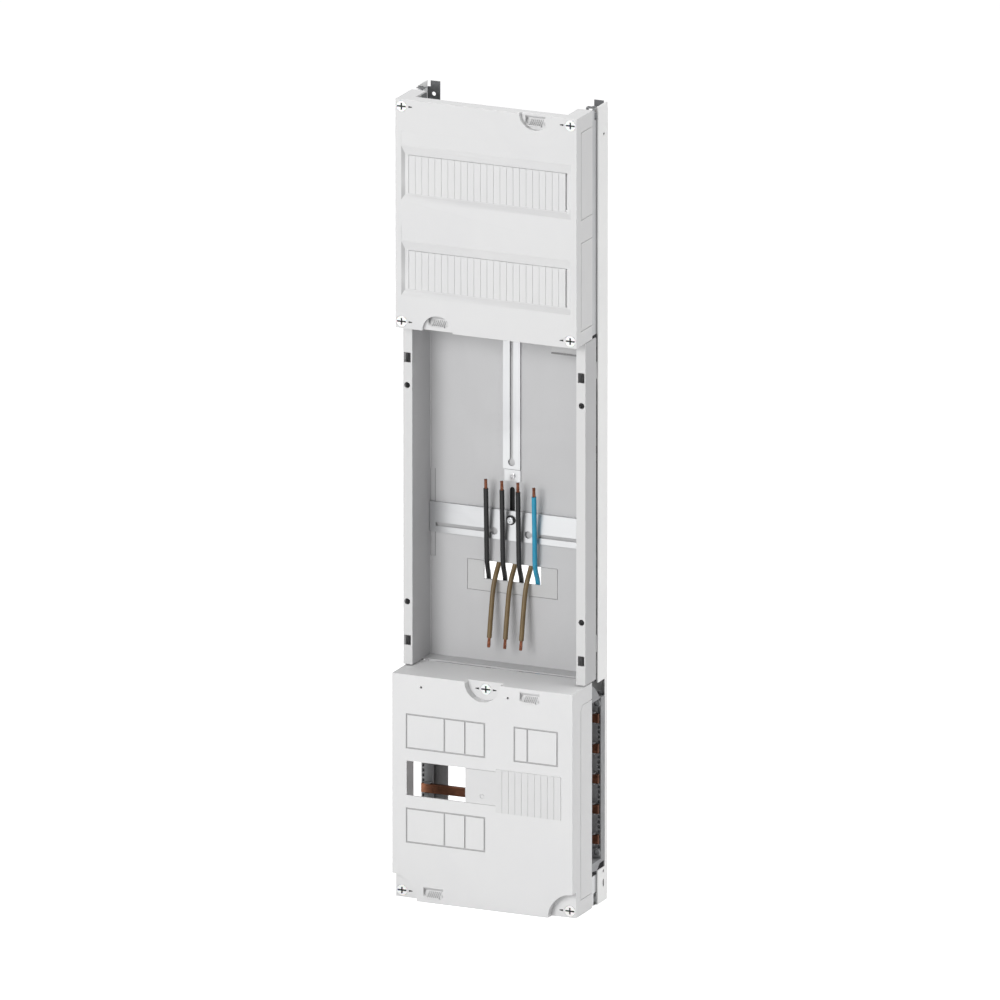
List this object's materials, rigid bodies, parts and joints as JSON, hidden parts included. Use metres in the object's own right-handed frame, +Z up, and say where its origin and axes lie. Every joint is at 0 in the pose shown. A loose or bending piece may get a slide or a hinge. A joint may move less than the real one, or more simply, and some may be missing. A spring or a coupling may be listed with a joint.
{
  "type": "meter panel field for a switchboard cabinet",
  "caption": "Tall meter panel field for a switchboard: device cover, open meter bay with height-adjustable cross rail, busbar section under a lift-off cover, side rails.",
  "frame": {"origin": "centre of the bottom of the box, on the plane that the side rails and the lower cover stand on", "axes": "+X to the right seen from the front, +Y from the front to the back, +Z up along the side rails"},
  "size_m": [0.252, 0.1128, 1.05],
  "materials": {
    "cover_plastic": "light grey moulded plastic, fine satin",
    "screw_plastic": "white nylon",
    "board_plastic": "grey moulded plastic, fine texture",
    "rail_paint": "white coated sheet steel",
    "zinc_steel": "bright zinc plated steel",
    "support_plastic": "dark grey glass-filled plastic",
    "copper": "bare rolled copper",
    "terminal_plastic": "grey polyamide",
    "washer_black": "black plastic",
    "lead_black": "black PVC insulation",
    "lead_blue": "blue PVC insulation",
    "lead_brown": "brown PVC insulation"
  },
  "bodies": {
    "frame": {"meter_board": "board_plastic", "cable_entry_plate": "board_plastic", "label_holder": "board_plastic", "left_side_rail": "rail_paint", "right_side_rail": "rail_paint", "top_rail_clips": "zinc_steel", "bottom_rail_clips": "zinc_steel", "lower_crossbar": "zinc_steel", "upper_crossbar": "zinc_steel", "crossbar_screws": "zinc_steel", "left_device_support": "zinc_steel", "right_device_support": "zinc_steel", "upper_din_rail": "zinc_steel", "lower_din_rail": "zinc_steel", "din_rail_brackets": "zinc_steel", "board_screws": "zinc_steel", "meter_strip": "zinc_steel", "strip_holder": "zinc_steel", "strip_holder_screw": "zinc_steel", "busbar_support_screws": "zinc_steel", "left_cover_bracket": "zinc_steel", "right_cover_bracket": "zinc_steel", "terminal_screws": "zinc_steel", "left_busbar_support": "support_plastic", "right_busbar_support": "support_plastic", "busbar_1": "copper", "busbar_2": "copper", "busbar_3": "copper", "busbar_4": "copper", "busbar_5": "copper", "black_lead_tips": "copper", "blue_lead_tip": "copper", "brown_lead_tips": "copper", "supply_terminal_block": "terminal_plastic", "outgoing_terminal_block": "terminal_plastic", "black_lead_1": "lead_black", "black_lead_2": "lead_black", "black_lead_3": "lead_black", "blue_lead": "lead_blue", "brown_lead_1": "lead_brown", "brown_lead_2": "lead_brown", "brown_lead_3": "lead_brown"},
    "upper_cover": {"upper_cover": "cover_plastic", "upper_blanking_strip": "cover_plastic", "middle_blanking_strip": "cover_plastic"},
    "lower_cover": {"lower_cover": "cover_plastic", "lower_blanking_strip": "cover_plastic", "blank_insert": "cover_plastic"},
    "meter_rail": {"meter_rail": "zinc_steel", "rail_clamp_washer": "washer_black", "rail_clamp_nut": "zinc_steel"},
    "rail_clamp_screw": {"rail_clamp_screw": "zinc_steel"},
    "screw_top_left": {"screw_top_left": "screw_plastic"},
    "screw_top_right": {"screw_top_right": "screw_plastic"},
    "screw_middle_left": {"screw_middle_left": "screw_plastic"},
    "screw_middle_right": {"screw_middle_right": "screw_plastic"},
    "screw_lower_centre": {"screw_lower_centre": "screw_plastic"},
    "screw_bottom_left": {"screw_bottom_left": "screw_plastic"},
    "screw_bottom_right": {"screw_bottom_right": "screw_plastic"}
  },
  "joints": [
    {"name": "upper_cover_lift_off", "type": "slide", "parent": "frame", "child": "upper_cover", "axis": [0, -1, 0], "range_m": [0, 0.12]},
    {"name": "lower_cover_lift_off", "type": "slide", "parent": "frame", "child": "lower_cover", "axis": [0, -1, 0], "range_m": [0, 0.12]},
    {"name": "meter_rail_height", "type": "slide", "parent": "frame", "child": "meter_rail", "axis": [0, 0, 1], "range_m": [-0.02, 0.038]},
    {"name": "rail_clamp_turn", "type": "hinge", "parent": "meter_rail", "child": "rail_clamp_screw", "pos_m": [0, 0.03655, 0.4905], "axis": [0, 1, 0], "continuous": true},
    {"name": "quarter_turn_top_left", "type": "hinge", "parent": "upper_cover", "child": "screw_top_left", "pos_m": [-0.1165, -0.04195, 1.041], "axis": [0, 1, 0], "range_deg": [0, 90]},
    {"name": "quarter_turn_top_right", "type": "hinge", "parent": "upper_cover", "child": "screw_top_right", "pos_m": [0.1165, -0.04195, 1.041], "axis": [0, 1, 0], "range_deg": [0, 90]},
    {"name": "quarter_turn_middle_left", "type": "hinge", "parent": "upper_cover", "child": "screw_middle_left", "pos_m": [-0.1165, -0.04195, 0.759], "axis": [0, 1, 0], "range_deg": [0, 90]},
    {"name": "quarter_turn_middle_right", "type": "hinge", "parent": "upper_cover", "child": "screw_middle_right", "pos_m": [0.1165, -0.04195, 0.759], "axis": [0, 1, 0], "range_deg": [0, 90]},
    {"name": "quarter_turn_lower_centre", "type": "hinge", "parent": "lower_cover", "child": "screw_lower_centre", "pos_m": [0, -0.04195, 0.288], "axis": [0, 1, 0], "range_deg": [0, 90]},
    {"name": "quarter_turn_bottom_left", "type": "hinge", "parent": "lower_cover", "child": "screw_bottom_left", "pos_m": [-0.1165, -0.04195, 0.009], "axis": [0, 1, 0], "range_deg": [0, 90]},
    {"name": "quarter_turn_bottom_right", "type": "hinge", "parent": "lower_cover", "child": "screw_bottom_right", "pos_m": [0.1165, -0.04195, 0.009], "axis": [0, 1, 0], "range_deg": [0, 90]}
  ]
}
